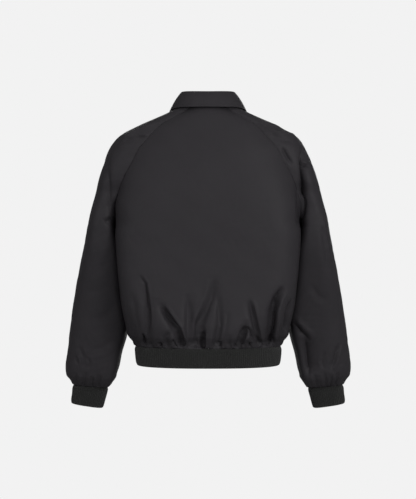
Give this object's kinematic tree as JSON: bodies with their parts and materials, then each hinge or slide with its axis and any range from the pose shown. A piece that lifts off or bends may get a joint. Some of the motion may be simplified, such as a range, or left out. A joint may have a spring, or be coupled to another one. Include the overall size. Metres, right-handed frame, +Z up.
{
  "type": "bomber jacket",
  "caption": "Blouson jacket filled out as if worn, with raglan sleeves, a fold-over collar, rib-knit hem and cuffs and a closed front zip.",
  "frame": {"origin": "middle of the neck opening, level with the neck seam at the shoulders, where the wearer's neck holds the jacket", "axes": "+Z up from the hem to the neck, +Y out of the jacket's back, +X towards the wearer's left sleeve"},
  "size_m": [0.7138, 0.2703, 0.7822],
  "materials": {
    "nylon": "smooth close-woven nylon, slight sheen",
    "rib_knit": "matt ribbed knit",
    "zip_tape": "matt woven tape",
    "zip_metal": "black satin lacquer"
  },
  "bodies": {
    "jacket": {"back_panel": "nylon", "front_left": "nylon", "front_right": "nylon", "sleeve_left": "nylon", "sleeve_right": "nylon", "collar_stand": "nylon", "collar_fall": "nylon", "hem_rib": "rib_knit", "cuff_left": "rib_knit", "cuff_right": "rib_knit", "zip_tape_left": "zip_tape", "zip_tape_right": "zip_tape", "zip_chain": "zip_metal", "zip_slider": "zip_metal"},
    "pull_tab": {"zip_pull": "zip_metal"}
  },
  "joints": [
    {"name": "pull_tab_hinge", "type": "hinge", "parent": "jacket", "child": "pull_tab", "pos_m": [0, -0.07871, -0.06775], "axis": [-1, 0, 0], "range_deg": [0, 150]}
  ]
}
